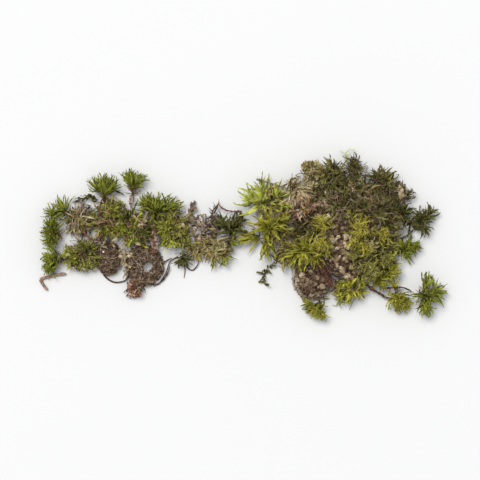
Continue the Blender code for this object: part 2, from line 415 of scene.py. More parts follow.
def make_scatter():
    """Geometry Nodes that strew copies of a collection's shapes over a surface's upper side."""
    tree, given = node_group(
        "strewn_over", Collection=["Kinds"], Int=["Seed"], Material=["Surface"],
        Float=["Count per mm2", "Lowest Slope", "Upright", "Disorder", "Smallest", "Largest", "Lift"])
    seed = given["Seed"]
    normal = add_node(tree, "GeometryNodeInputNormal").outputs[0]
    height = add_node(tree, "ShaderNodeSeparateXYZ", {0: normal}).outputs["Z"]
    upper = add_node(tree, "FunctionNodeCompare", {0: height, 1: given["Lowest Slope"]}).outputs[0]
    cover = add_node(tree, "GeometryNodeInputNamedAttribute", {"Name": "cover"}, data_type="FLOAT").outputs[0]
    density = maths(tree, "MULTIPLY", maths(tree, "MULTIPLY", given["Count per mm2"], MM**-2), cover)
    spread = add_node(tree, "GeometryNodeDistributePointsOnFaces", {
        "Mesh": given["Geometry"], "Selection": upper, "Density": density, "Seed": seed,
    }).outputs
    upright = add_node(tree, "ShaderNodeMix", {
        0: given["Upright"], 4: spread["Normal"], 5: (0.0, 0.0, 1.0),
    }, data_type="VECTOR").outputs[1]
    stirred = scaled(tree, chance_vector(tree, (-1.0, -1.0, -1.0), (1.0, 1.0, 1.0), seed), given["Disorder"])
    aim = add_node(tree, "ShaderNodeVectorMath", {0: upright, 1: stirred}, operation="ADD").outputs[0]
    spin = chance_vector(tree, (0.0, 0.0, 0.0), (0.0, 0.0, math.tau), seed)
    raised = add_node(tree, "GeometryNodeSetPosition", {
        "Geometry": spread["Points"], "Offset": scaled(tree, spread["Normal"], given["Lift"]),
    }).outputs[0]
    copies = add_node(tree, "GeometryNodeInstanceOnPoints", {
        "Points": raised, "Instance": shapes_in(tree, given["Kinds"]), "Pick Instance": True,
        "Rotation": facing(tree, aim, spin), "Scale": chance(tree, given["Smallest"], given["Largest"], seed),
    }).outputs[0]
    copies = tinted(tree, copies, "clump_tint", chance(tree, 0.0, 1.0, seed))
    copies = tinted(tree, copies, "leaf_tint", chance(tree, 0.0, 1.0, 5))
    add_node(tree, "NodeGroupOutput", {0: made_real(tree, copies, given["Surface"])})
    return tree


def by_nodes(name, mesh, tree, inputs):
    """The plain mesh that a Geometry Nodes tree makes from a mesh with these named inputs."""
    carrier = show(name, mesh)
    modifier = carrier.modifiers.new(name, "NODES")
    modifier.node_group = tree
    for item in tree.interface.items_tree:
        if item.in_out == "INPUT" and item.name in inputs:
            modifier[item.identifier] = inputs[item.name]
    result = evaluated(carrier)
    result.name = name
    return result


def joined(name, meshes):
    """Meshes as one, with their attributes and materials."""
    parts = [show(f"{name}_{number}", mesh) for number, mesh in enumerate(meshes)]
    if len(parts) > 1:
        with bpy.context.temp_override(active_object=parts[0], selected_editable_objects=parts):
            bpy.ops.object.join()
    mesh = parts[0].data
    bpy.data.objects.remove(parts[0])
    mesh.name = name
    return mesh


def make_soil(name, stops, lump_size):
    """Sandy soil: dark damp crumbs and pale dusty ones side by side, matt all over."""
    material, tree = new_material(name)
    coarse, fine = speckle(tree, lump_size, 4.0, 0.65), speckle(tree, lump_size / 4, 2.0)
    mixed = add_node(tree, "ShaderNodeMix", {0: 0.45, 2: coarse, 3: fine}, data_type="FLOAT").outputs[0]
    colour = colour_ramp(tree, graded(tree, mixed, 0.32, 0.68), stops)
    crust = surface(tree, colour, MATT, mixed, 0.9, 0.25 * MM)
    add_node(tree, "ShaderNodeOutputMaterial", {"Surface": crust})
    return material


def make_grain(name, stops, rough):
    """Loose sand and crumbs: every grain has its own colour from the stops, and some dirt on it."""
    material, tree = new_material(name)
    own = add_node(tree, "ShaderNodeAttribute", attribute_name="clump_tint").outputs["Fac"]
    dirt = speckle(tree, 0.35 * MM)
    total = maths(tree, "ADD", own, graded(tree, dirt, 0.3, 0.7, -0.12, 0.12), use_clamp=True)
    colour = colour_ramp(tree, total, stops)
    add_node(tree, "ShaderNodeOutputMaterial", {"Surface": surface(tree, colour, rough, dirt, 0.5, 0.1 * MM)})
    return material


MATT = 0.95
SOIL_STOPS = ((0.0, "160F09"), (0.4, "322418"), (0.7, "544230"), (1.0, "7C6850"))
ROOT_STOPS = ((0.0, "22160F"), (0.4, "46342A"), (0.75, "6A5546"), (1.0, "8E7A68"))
GRAIN_STOPS = ((0.0, "2C1E12"), (0.35, "56422E"), (0.65, "887258"), (0.9, "B6A284"), (1.0, "D6C9B2"))
sandy_soil = make_soil("sandy_soil", SOIL_STOPS, 1.2 * MM)
rooty_soil = make_soil("rooty_soil", ROOT_STOPS, 0.9 * MM)
loose_sand = make_grain("loose_sand", GRAIN_STOPS, 0.85)
CRUMB_STOPS = ((0.0, "20150D"), (0.4, "3E2F20"), (0.8, "5E4C3A"), (1.0, "8C7862"))
dark_crumbs = make_grain("dark_peaty_crumbs", CRUMB_STOPS, 0.9)
quartz = make_grain("quartz_grains", ((0.0, "A89C90"), (0.5, "D8D0C8"), (1.0, "F4F0EC")), 0.4)
pale_stone = make_grain("pale_sandstone", ((0.0, "8A7660"), (0.5, "AC9A82"), (1.0, "CEC0A8")), 0.85)
strewn = make_scatter()
crumbs = kinds_of("crumbs", [crumb(f"crumb_{i}", 0.6 + 0.1 * (i % 4), i) for i in range(8)])


def make_stem(name, dark, light, rough=0.6):
    """Wiry moss stem or rhizoid: darker in patches where old leaf feet are left, with a dull shine."""
    material, tree = new_material(name)
    colour = colour_ramp(tree, speckle(tree, 1.1 * MM), ((0.35, dark), (0.65, light)))
    bark = surface(tree, colour, rough, speckle(tree, 0.3 * MM), 0.6, 0.12 * MM)
    add_node(tree, "ShaderNodeOutputMaterial", {"Surface": bark})
    return material


def strew(name, mesh, kinds, material, per_mm2, seed, smallest=0.6, largest=1.15, upright=0.2, disorder=0.8,
          lift=0.0, slope=-0.2):
    """Shapes strewn over a mesh's upper side, as a mesh."""
    return by_nodes(name, mesh.copy(), strewn, {
        "Kinds": kinds, "Count per mm2": per_mm2, "Lowest Slope": slope, "Upright": upright,
        "Disorder": disorder, "Smallest": smallest, "Largest": largest, "Seed": seed, "Surface": material,
        "Lift": lift,
    })


brown_thread = make_stem("brown_rhizoid", "3E2C20", "8A705A")
dark_thread = make_stem("dark_rhizoid", "241A14", "54423A")
pale_thread = make_stem("pale_dead_rhizoid", "7C6850", "B4A288", 0.8)
STONE_FLATNESS = 0.7
LOOSE = {"upright": 0.0, "disorder": 2.0, "slope": -0.6}
QUARTZ = {**LOOSE, "smallest": 0.5 * MM, "largest": 1.1 * MM, "lift": 0.25 * MM}
QUARTZ_PER_MM2 = 0.06


def pebble(name, node, place, size, material, seed):
    """A single stone or lump of earth, this many millimetres across, near a CAD solid."""
    bm = bmesh.new()
    bmesh.ops.create_icosphere(bm, subdivisions=3, radius=0.5 * size * MM)
    for vertex in bm.verts:
        knock = 1 + 0.5 * noise.noise(vertex.co / (0.6 * size * MM) + Vector((seed, 0, 0)))
        vertex.co = vertex.co * knock
        vertex.co.z *= STONE_FLATNESS
        vertex.co += spot(node, place)
    mesh = mesh_of(name, bm)
    mesh.materials.append(material)
    mesh.shade_smooth()
    leave(name, settle(mesh), None)


def in_root_hole(x, y, z):
    """The gap in the root tangle where the table shows through."""
    return (x - 0.6) ** 2 + (y - 0.46) ** 2 * 1.6 < 0.02


# node, earth, how far it is drawn in (mm), grains, grains per mm2, smallest and largest grain in mm, threads,
# their radius in mm, seed
CLODS = (
    ("soil_clod", sandy_soil, 0.6, loose_sand, 1.7, 0.5, 1.9, 70, 0.08, 3),
    ("soil_lobe", sandy_soil, 1.0, loose_sand, 0.75, 0.5, 2.2, 70, 0.1, 5),
    ("grainy_clod", rooty_soil, 0.6, dark_crumbs, 1.3, 0.4, 1.2, 80, 0.11, 7),
    ("root_mass", rooty_soil, 1.4, dark_crumbs, 1.0, 0.25, 1.1, 190, 0.15, 9),
)
for node, soil, drawn_in, grain_kind, per_mm2, smallest, largest, thread_count, radius, seed in CLODS:
    tangle = node == "root_mass"
    body = roughened(node, f"{node}_earth", soil, shrink=drawn_in * MM, seed=seed)
    if tangle:
        cover_where(body.data, node, lambda x, y, z: 0.0 if in_root_hole(x, y, z) else 1.0)
    grains = strew(f"{node}_grains", body.data, crumbs, grain_kind, per_mm2, seed, smallest * MM,
                   largest * MM, **LOOSE)
    bits = strew(f"{node}_quartz", body.data, crumbs, quartz, QUARTZ_PER_MM2, seed, **QUARTZ)
    fibres = crawl(node, thread_count, 16, 0.7 * MM, 0.5, (1.3 if tangle else 0.7) * MM, seed,
                   in_root_hole if tangle else None)
    dark = threads(f"{node}_rhizoids", [*fibres[::3], *fibres[1::3]], radius * MM, brown_thread)
    pale = threads(f"{node}_dead_roots", fibres[2::3], radius * 0.8 * MM, pale_thread)
    earth = [] if tangle else [body.data]
    meshes = [settle(mesh) for mesh in (*earth, grains, bits, dark, pale)]
    leave(f"{node}_crumbs", joined(f"{node}_crumbs", meshes), node)
    bpy.data.objects.remove(body)

# ---------------------------------------------------------------------------------------------
# Bright rosettes: each shoot of star moss is a short wiry stem with long pointed leaves in a spiral,
# the outer ones laid back flat and the young ones in the middle nearly upright. A leaf is one thin
# blade, folded along its midrib, wavy along both margins and let through by light.
STATIONS = 7  # rings of points along a leaf
WAVES = 2.5  # how often its margins wave
THICKNESS = 0.014  # of a leaf, as a share of its length
KEEN_EDGE = math.radians(75)
GOLDEN_ANGLE = math.radians(137.5)


def blade(name, width, curl, sway, twist, wave, fold, seed, stations=STATIONS, widest=0.4, blunt=1.3):
    """One leaf 1 unit long that grows along +Z with its upper face to +Y. Its width, wave and fold are shares
    of its length, curl, sway and twist are the degrees it bends and turns, and blunt is how round its end is."""
    rng = random.Random(seed)
    phase = rng.uniform(0, math.tau)
    forward, upper, place = Vector((0, 0, 1)), Vector((0, 1, 0)), Vector()
    points, along, rib = [], [], []
    for station in range(stations):
        part = station / stations
        side = forward.cross(upper).normalized()
        rise = 0.4 + 0.6 * math.sin(math.pi / 2 * min(1, part / widest))
        fall = 1 - max(0, (part - widest) / (1 - widest)) ** blunt
        half = width / 2 * rise * fall * rng.uniform(0.92, 1.08)
        ripple = upper * wave * math.sin(math.tau * WAVES * part + phase) * min(1, part * 4)
        margin = upper * fold * half * 2
        points += [place - side * half + margin + ripple, place + upper * THICKNESS,
                   place + side * half + margin - ripple, place - upper * THICKNESS]
        along += [part] * 4
        rib += [0.0, 1.0, 0.0, 1.0]
        share = (0.4 + 1.2 * part) / stations
        bend = Quaternion(side, math.radians(curl) * share) @ Quaternion(upper, math.radians(sway) * share)
        forward = (bend @ forward).normalized()
        upper = Quaternion(forward, math.radians(twist) / stations) @ bend @ upper
        upper = (upper - forward * upper.dot(forward)).normalized()
        place = place + forward / stations
    points.append(place)
    faces = [(0, 1, 2, 3)]
    for row in range(0, 4 * stations - 4, 4):
        faces += [(row + i, row + 4 + i, row + 4 + (i + 1) % 4, row + (i + 1) % 4) for i in range(4)]
    last = 4 * stations - 4
    faces += [(last + i, last + 4, last + (i + 1) % 4) for i in range(4)]
    mesh = bpy.data.meshes.new(name)
    mesh.from_pydata(points, [], faces)
    mesh.attributes.new("along", "FLOAT", "POINT").data.foreach_set("value", along + [1.0])
    mesh.attributes.new("rib", "FLOAT", "POINT").data.foreach_set("value", rib + [1.0])
    bm = bmesh.new()
    bm.from_mesh(mesh)
    bmesh.ops.triangulate(bm, faces=bm.faces)
    bmesh.ops.recalc_face_normals(bm, faces=bm.faces)
    bm.to_mesh(mesh)
    bm.free()
    mesh.shade_smooth()
    mesh.set_sharp_from_angle(angle=KEEN_EDGE)
    return kept_out(name, mesh)


def blades(name, count, width, curl, sway, twist, wave, fold, seed, **more):
    """Leaves of one kind, each bent in its own way within the given ranges."""
    rng = random.Random(seed)
    return kinds_of(name, [
        blade(f"{name}_{i}", width * rng.uniform(0.85, 1.15), rng.uniform(*curl), rng.uniform(-sway, sway),
              rng.uniform(-twist, twist), wave, fold * rng.uniform(0.6, 1.3), seed + i, **more)
        for i in range(count)
    ])


def make_leafy_stem():
    """Geometry Nodes that make a tapered stem along each line of a mesh, with leaves in a spiral round it."""
    tree, given = node_group(
        "leafy_stem", Collection=["Kinds"], Int=["Leaves", "Seed"], Material=["Surface", "Stem Surface"],
        Float=["Leaf Length", "Stem Radius", "Outer Tilt", "Inner Tilt", "Inner Size", "Disorder"])
    share = add_node(tree, "GeometryNodeSplineParameter").outputs["Factor"]

    def between(low, high):
        return add_node(tree, "ShaderNodeMix", {0: share, 2: low, 3: high}, data_type="FLOAT").outputs[0]

    def varied(low, high, salt):
        return chance(tree, low, high, maths(tree, "ADD", given["Seed"], salt))

    def stray(low, high, salt):
        return maths(tree, "MULTIPLY", varied(low, high, salt), given["Disorder"])

    line = add_node(tree, "GeometryNodeMeshToCurve", {"Mesh": given["Geometry"]}).outputs[0]
    evenly = {"Curve": line, "Count": given["Leaves"]}
    spaced = add_node(tree, "GeometryNodeResampleCurve", evenly, mode="COUNT").outputs[0]
    tilt = maths(tree, "ADD", between(given["Outer Tilt"], given["Inner Tilt"]), stray(-1.0, 1.0, 11))
    number = add_node(tree, "GeometryNodeInputIndex").outputs[0]
    spiral = maths(tree, "MULTIPLY_ADD", number, GOLDEN_ANGLE, varied(-0.35, 0.35, 37))
    turn = add_node(tree, "ShaderNodeCombineXYZ", {0: tilt, 1: stray(-0.6, 0.6, 23), 2: spiral}).outputs[0]
    size = maths(tree, "MULTIPLY", between(1.0, given["Inner Size"]), varied(0.75, 1.12, 41))
    which = add_node(tree, "FunctionNodeRandomValue", {4: 0, 5: 99, "Seed": given["Seed"]}, data_type="INT")
    copies = add_node(tree, "GeometryNodeInstanceOnPoints", {
        "Points": spaced, "Instance": shapes_in(tree, given["Kinds"]), "Pick Instance": True,
        "Instance Index": which.outputs[2],
        "Rotation": facing(tree, add_node(tree, "GeometryNodeInputTangent").outputs[0], turn),
        "Scale": maths(tree, "MULTIPLY", size, given["Leaf Length"]),
    }).outputs[0]
    copies = tinted(tree, copies, "leaf_tint", varied(0.0, 1.0, 53))
    leaves = made_real(tree, copies, given["Surface"])
    thinner = {"Curve": line, "Radius": between(1.0, 0.5)}
    round_wire = {"Resolution": 6, "Radius": given["Stem Radius"]}
    tube = add_node(tree, "GeometryNodeCurveToMesh", {
        "Curve": add_node(tree, "GeometryNodeSetCurveRadius", thinner).outputs[0],
        "Profile Curve": add_node(tree, "GeometryNodeCurvePrimitiveCircle", round_wire).outputs[0],
        "Fill Caps": True, "Scale": between(1.0, 0.5),
    }).outputs[0]
    stem = add_node(tree, "GeometryNodeSetMaterial", {"Geometry": tube, "Material": given["Stem Surface"]})
    whole = add_node(tree, "GeometryNodeJoinGeometry", {0: stem.outputs[0]})
    tree.links.new(leaves, whole.inputs[0])
    add_node(tree, "NodeGroupOutput", {0: whole.outputs[0]})
    return tree


FOOT_SHADE_REACH = 0.4  # how far up a leaf the painted shade at its foot fades out


def make_leaf(name, foot, edge, stops, rough=0.5, clear=0.15):
    """Moss leaf: each has its own colour from the stops, a darker foot that is painted shade for the crowded
    gaps between leaves, and a painted highlight on its margin and midrib.
    """
    material, tree = new_material(name)
    read = {key: add_node(tree, "ShaderNodeAttribute", attribute_name=key).outputs["Fac"]
            for key in ("along", "rib", "leaf_tint", "clump_tint")}
    patchy = graded(tree, speckle(tree, 1.2 * MM), 0.3, 0.7, -0.2, 0.2)
    own = maths(tree, "MULTIPLY_ADD", read["leaf_tint"], 0.6, patchy)
    colour = colour_ramp(tree, maths(tree, "MULTIPLY_ADD", read["clump_tint"], 0.4, own), stops)

    def shaded(under, over, factor, low, high, most):
        inputs = {0: graded(tree, factor, low, high, 0.0, most), 6: under, 7: linear(over)}
        return add_node(tree, "ShaderNodeMix", inputs, data_type="RGBA").outputs[2]

    # Painted highlight: the margins are drawn strongly, and the midrib faintly, towards the edge colour.
    colour = shaded(colour, edge, read["rib"], 0.5, 0.0, 0.8)
    colour = shaded(colour, edge, read["rib"], 0.85, 1.0, 0.3)
    # Painted shade: the foot of each leaf is drawn towards the foot colour, fading out up the leaf.
    colour = shaded(colour, foot, read["along"], FOOT_SHADE_REACH, 0.0, 0.85)
    skin = surface(tree, colour, rough, speckle(tree, 0.25 * MM, 2.0), 0.3, 0.05 * MM)
    lit = add_node(tree, "ShaderNodeBsdfTranslucent", {"Color": colour}).outputs[0]
    both = add_node(tree, "ShaderNodeMixShader", {0: clear, 1: skin, 2: lit}).outputs[0]
    add_node(tree, "ShaderNodeOutputMaterial", {"Surface": both})
    return material


leafy_stem = make_leafy_stem()
# The two colours after each leaf's name are the painted shade at its foot and the painted highlight on its
# margin and midrib.
bright_leaf = make_leaf("bright_moss_leaf", "525C10", "ECEA94",
                        ((0.0, "525C12"), (0.3, "9EAA30"), (0.7, "D2D652"), (1.0, "EAE880")))
green_leaf = make_leaf("green_moss_leaf", "383A0C", "C6C45E",
                       ((0.0, "262E08"), (0.3, "5E6A16"), (0.7, "929A2A"), (1.0, "BCBC4C")))
withered_leaf = make_leaf("withered_moss_leaf", "3E2C1A", "B4A26C",
                          ((0.0, "4C3A24"), (0.4, "766236"), (0.8, "A08E58"), (1.0, "B9A878")), rough=0.7)
red_stem = make_stem("red_moss_stem", "40281F", "7E5040")
long_blades = blades("long_blade", 16, 0.16, (-30, 80), 40, 50, 0.035, 0.55, 100, stations=9, widest=0.3,
                     blunt=0.95)
slim_blades = blades("slim_blade", 14, 0.14, (-40, 100), 60, 90, 0.04, 0.4, 200, widest=0.3, blunt=1.0)
wavy_blades = blades("wavy_blade", 14, 0.13, (10, 170), 80, 140, 0.06, 0.4, 250, widest=0.35, blunt=1.1)
wide_leaves = blades("wide_leaf", 14, 0.18, (-30, 140), 70, 110, 0.05, 0.4, 270, widest=0.35, blunt=1.1)
few_blades = blades("few_blade", 12, 0.13, (0, 140), 80, 120, 0.04, 0.35, 400, stations=5)


def line_mesh(name, routes):
    """Bare lines as a mesh, for stems to grow along."""
    mesh = bpy.data.meshes.new(name)
    points, edges = [], []
    for route in routes:
        edges += [(len(points) + i, len(points) + i + 1) for i in range(len(route) - 1)]
        points += [tuple(place) for place in route]
    mesh.from_pydata(points, edges, [])
    return mesh


def leafy(name, routes, kinds, leaf, stem, leaves, length, outer, inner, seed, radius=0.16, small=0.5,
          disorder=0.3):
    """Stems along routes, with so many leaves each: leaf length and stem radius in mm, tilts in degrees."""
    return by_nodes(name, line_mesh(name, routes), leafy_stem, {
        "Kinds": kinds, "Leaves": leaves, "Leaf Length": length * MM, "Stem Radius": radius * MM,
        "Outer Tilt": math.radians(outer), "Inner Tilt": math.radians(inner), "Inner Size": small,
        "Disorder": disorder, "Seed": seed, "Surface": leaf, "Stem Surface": stem,
    })


def heading(bearing, rise):
    """The direction with this bearing round +Z from +X and this rise above the table, in degrees."""
    flat = math.cos(math.radians(rise))
    return Vector((flat * math.cos(math.radians(bearing)), flat * math.sin(math.radians(bearing)),
                   math.sin(math.radians(rise))))


def tuft_meshes(node, shoots, kinds, leaf, stem, seed, small=0.5, disorder=0.3):
    """The shoots of a tuft, each with a skirt of withered leaves below its green ones. A shoot is its foot as
    shares of the solid's box, the bearing and rise of its stem, its leaves, their length in mm, and the tilt
    of its outer and inner leaves."""
    meshes = []
    for number, (foot, bearing, rise, leaves, length, outer, inner) in enumerate(shoots):
        base, axis = spot(node, foot), heading(bearing, rise)
        salt = seed * 31 + number * 7
        crown = [base, base + axis * 0.3 * length * MM]
        below = [base - axis * 0.35 * length * MM, base]
        meshes.append(leafy(f"{node}_shoot_{number}", [crown], kinds, leaf, stem, leaves, length, outer,
                            inner, salt, small=small, disorder=disorder))
        meshes.append(leafy(f"{node}_skirt_{number}", [below], slim_blades, withered_leaf, stem,
                            leaves // 4, length * 0.6, 100, 60, salt + 3, small=0.9, disorder=0.5))
    return meshes


def grow_tuft(node, slot, shoots, kinds, leaf, stem, seed, more=(), **manner):
    """A tuft in the room of its CAD solid, with what else is joined to it."""
    mesh = joined(f"{node}_leaves", [*tuft_meshes(node, shoots, kinds, leaf, stem, seed, **manner), *more])
    leave(f"{node}_leaves", settle(mesh), node)


BRIGHT_TUFTS = {
    "bright_rosette_upper": [
        ((0.5, 0.42, 0.5), 110, 62, 26, 8.4, 92, 40),
        ((0.4, 0.5, 0.45), 165, 35, 12, 8.0, 60, 25),
        ((0.7, 0.5, 0.45), 50, 35, 12, 8.4, 60, 25),
        ((0.5, 0.6, 0.4), 95, 20, 10, 7.6, 40, 12),
    ],
    "bright_rosette_lower": [
        ((0.5, 0.62, 0.6), 40, 72, 30, 9.0, 96, 45),
        ((0.5, 0.4, 0.5), -95, 20, 12, 8.8, 45, 15),
        ((0.65, 0.7, 0.7), 40, 30, 14, 8.6, 60, 20),
        ((0.35, 0.4, 0.4), 195, 20, 10, 8.8, 40, 15),
    ],
    "star_rosette": [
        ((0.98, 0.62, 1.3), -80, 78, 44, 7.8, 96, 45),
        ((0.85, 0.6, 1.0), 215, 35, 18, 7.6, 75, 25),
        ((1.3, 0.5, 1.2), -40, 60, 24, 7.0, 90, 30),
    ],
}
GREEN_TUFTS = {
    "bright_shoot_corner": (wide_leaves, [
        ((0.3, 0.5, 0.5), 5, 35, 60, 6.2, 88, 8),
        ((0.2, 0.8, 0.6), 50, 40, 34, 5.4, 80, 8),
        ((0.05, 0.3, 0.6), -60, 30, 34, 5.4, 80, 8),
    ]),
    "hanging_tuft_left": (wide_leaves, [
        ((0.55, 0.85, 0.5), -115, 20, 56, 5.8, 72, 4),
        ((0.6, 0.65, 0.6), -90, 30, 34, 5.0, 70, 8),
        ((0.4, 0.8, 0.5), 175, 10, 16, 5.2, 40, 8),
    ]),
    "hanging_tuft_middle": (wavy_blades, [
        ((0.42, 0.55, 0.6), -70, 50, 120, 5.4, 98, 6),
        ((0.35, 0.8, 0.5), 95, 20, 8, 5.0, 30, 6),
        ((0.6, 0.4, 0.4), -40, 30, 60, 4.6, 90, 10),
    ]),
    "hanging_tuft_right": (wide_leaves, [
        ((0.28, 0.55, 0.6), 0, 50, 60, 6.4, 96, 12),
        ((0.3, 0.45, 0.5), -80, 20, 34, 6.2, 60, 8),
        ((0.35, 0.7, 0.5), 88, 15, 12, 6.4, 36, 8),
        ((0.55, 0.6, 0.5), 25, 20, 24, 5.8, 60, 8),
    ]),
    "tall_tuft_left": (slim_blades, [
        ((0.5, 0.12, 0.45), 92, 15, 60, 7.6, 50, 3),
        ((0.62, 0.2, 0.5), 55, 20, 18, 6.4, 50, 8),
        ((0.35, 0.3, 0.5), 130, 20, 18, 6.0, 60, 8),
    ]),
    "tall_tuft_right": (slim_blades, [
        ((0.3, 0.15, 0.45), 100, 20, 46, 6.4, 40, 3),
        ((0.42, 0.2, 0.5), 60, 25, 44, 5.6, 50, 6),
    ]),
    "pale_green_shoot": (slim_blades, [
        ((0.7, 0.3, 0.5), 125, 25, 34, 6.0, 74, 8),
        ((0.3, 0.2, 0.5), 140, 20, 24, 5.0, 70, 8),
    ]),
    "dense_tuft_left": (slim_blades, [
        ((0.65, 0.5, 0.5), 165, 40, 80, 5.6, 90, 6),
        ((0.6, 0.3, 0.5), 215, 30, 44, 5.0, 76, 8),
        ((0.6, 0.7, 0.5), 110, 35, 40, 4.8, 76, 8),
    ]),
    "dense_tuft_corner": (wavy_blades, [
        ((0.75, 0.65, 0.5), 190, 30, 60, 6.0, 82, 6),
        ((0.6, 0.4, 0.5), 225, 25, 40, 5.2, 76, 8),
    ]),
    "big_tuft": (slim_blades, [
        ((0.45, 0.2, 0.5), 80, 30, 60, 7.6, 76, 6),
        ((0.35, 0.35, 0.5), 130, 25, 40, 6.4, 66, 8),
        ((0.65, 0.3, 0.5), 30, 25, 40, 7.0, 66, 8),
        ((0.5, -0.1, 0.5), -60, 30, 30, 6.0, 80, 8),
    ]),
}
yellow_leaf = make_leaf("yellow_moss_leaf", "443E0C", "D8D26A",
                        ((0.0, "363408"), (0.3, "7E7A18"), (0.7, "B4B032"), (1.0, "D6D05A")))
for number, (node, shoots) in enumerate(BRIGHT_TUFTS.items()):
    leaf = bright_leaf if node == "bright_rosette_upper" else yellow_leaf
    grow_tuft(node, "bright_moss", shoots, long_blades, leaf, red_stem, 10 + number, small=0.75,
              disorder=0.25)
YELLOWER = ("bright_shoot_corner", "hanging_tuft_middle", "hanging_tuft_left")
for number, (node, (kinds, shoots)) in enumerate(GREEN_TUFTS.items()):
    leaf = yellow_leaf if node in YELLOWER else green_leaf
    grow_tuft(node, "bright_moss", shoots, kinds, leaf, red_stem, 15 + number, small=0.65, disorder=0.45)

# ---------------------------------------------------------------------------------------------
# Curled shoots: half dry, their narrow leaves crisped into curls like wool. The one at the corner is olive.
curly_leaf = make_leaf("curly_moss_leaf", "423810", "D4CA68",
                       ((0.0, "3C360A"), (0.35, "8A801E"), (0.75, "BAB03A"), (1.0, "D8CE68")))
olive_leaf = make_leaf("olive_moss_leaf", "382E12", "C0B872",
                       ((0.0, "2E2C10"), (0.35, "6C6824"), (0.8, "9C9442"), (1.0, "B8AC6E")))
pale_leaf = make_leaf("pale_dry_moss_leaf", "786A3A", "E4DCB2",
                      ((0.0, "9A8E52"), (0.5, "C0B476"), (1.0, "D8CE9E")))
curled_blades = blades("curled_blade", 14, 0.09, (60, 260), 100, 200, 0.03, 0.35, 300, stations=8)
CURLY = {
    "curly_shoot_centre": [
        ((0.5, 0.55, 0.5), 30, 75, 84, 7.2, 96, 20),
    ],
    "curly_shoot_upper": [
        ((0.5, 0.5, 0.5), 90, 70, 84, 6.6, 94, 20),
        ((1.5, 0.9, 0.6), 90, 50, 34, 4.6, 85, 15),
    ],
    "curly_shoot_right": [
        ((0.5, 0.7, 0.5), -60, 75, 110, 7.0, 94, 20),
        ((0.4, 0.4, 0.4), -85, 20, 50, 7.4, 50, 15),
        ((0.65, 0.2, 0.3), -80, 10, 36, 7.4, 35, 10),
    ],
    "small_shoot_right": [
        ((0.4, 0.5, 0.4), 10, 60, 50, 6.2, 88, 15),
    ],
    "olive_shoot_corner": [
        ((0.5, 0.5, 0.5), -30, 70, 84, 7.4, 94, 20),
        ((0.1, 0.9, 0.6), 100, 60, 50, 7.0, 90, 15),
        ((0.9, 0.8, 0.3), 20, 50, 50, 6.4, 88, 15),
    ],
}
for number, (node, shoots) in enumerate(CURLY.items()):
    leaf = olive_leaf if node == "olive_shoot_corner" else curly_leaf
    more = []
    if node == "small_shoot_right":
        dry = [((-0.1, 0.15, 0.4), -90, 65, 44, 5.6, 85, 20)]
        more = tuft_meshes(node, dry, few_blades, pale_leaf, red_stem, 58)
    slot = "olive_moss" if leaf == olive_leaf else "bright_moss"
    grow_tuft(node, slot, shoots, curled_blades, leaf, red_stem, 50 + number, more=more, disorder=0.6)
grow_tuft("side_shoot_green", "olive_moss", [
    ((0.35, 0.55, 0.5), 5, 50, 90, 5.4, 94, 6), ((0.6, 0.6, 0.5), 20, 25, 30, 5.0, 70, 8),
], wide_leaves, green_leaf, red_stem, 61, disorder=0.5)

# ---------------------------------------------------------------------------------------------
# Dark tufts: deep green shoots of a finer moss, at the side of the clod and on the strand.
dark_leaf = make_leaf("dark_moss_leaf", "1C140A", "94865A",
                      ((0.0, "1C1C0C"), (0.35, "443F20"), (0.65, "625232"), (1.0, "9A8660")), rough=0.6)
deep_leaf = make_leaf("deep_green_moss_leaf", "201C0A", "8E8A50",
                      ((0.0, "2C2E12"), (0.5, "4C4C22"), (1.0, "7A763C")), rough=0.6)
DARK_TUFTS = {
    "side_shoot_dark_outer": [
        ((0.3, 0.5, 0.5), 60, 40, 50, 6.2, 84, 8),
        ((0.4, 0.4, 0.5), -50, 20, 10, 4.6, 40, 8),
        ((0.55, 0.7, 0.5), 50, 20, 24, 5.0, 60, 8),
    ],
    "side_shoot_dark_inner": [
        ((0.5, 0.4, 0.5), 110, 40, 40, 6.0, 88, 8),
        ((0.0, 0.6, 0.9), 160, 30, 34, 6.6, 84, 8),
        ((0.8, 0.1, 0.5), -20, 30, 24, 5.6, 80, 8),
    ],
    "dark_shoot_link": [
        ((0.5, 0.3, 0.6), 85, 35, 34, 7.8, 74, 8),
        ((0.3, 0.4, 0.5), 115, 20, 24, 7.0, 50, 8),
        ((0.7, 0.5, 0.5), 60, 20, 18, 6.8, 50, 8),
    ],
    "dark_shoot_low": [
        ((0.6, 0.7, 0.5), -90, 30, 40, 5.0, 80, 8),
    ],
}
for number, (node, shoots) in enumerate(DARK_TUFTS.items()):
    grow_tuft(node, "dark_moss", shoots, wide_leaves, deep_leaf, red_stem, 70 + number, disorder=0.5)

# ---------------------------------------------------------------------------------------------
# Mats: many small crowded shoots on a felt of brown rhizoids, with dead stems lying through them. The
# finer moss covers the clod's upper side and the earth between the mats, all but a bare patch.
felt = make_soil("rhizoid_felt", ((0.0, "140E08"), (0.5, "2E2214"), (1.0, "5A4A32")), 0.7 * MM)


SHOOT_SHAPES = 6


def small_shoots(name, kinds, leaf, leaves, length, seed, outer=80, inner=12, disorder=0.45):
    """A few small shoots of one kind for a mat to be strewn with, at their real size."""
    shapes = []
    for i in range(SHOOT_SHAPES):
        upright = [[Vector(), Vector((0, 0, 0.45 * length * MM))]]
        mesh = leafy(f"{name}_{i}", upright, kinds, leaf, brown_thread, leaves, length, outer, inner,
                     seed + i, radius=0.14, disorder=disorder)
        shapes.append(kept_out(f"{name}_{i}", mesh))
    return kinds_of(name, shapes)


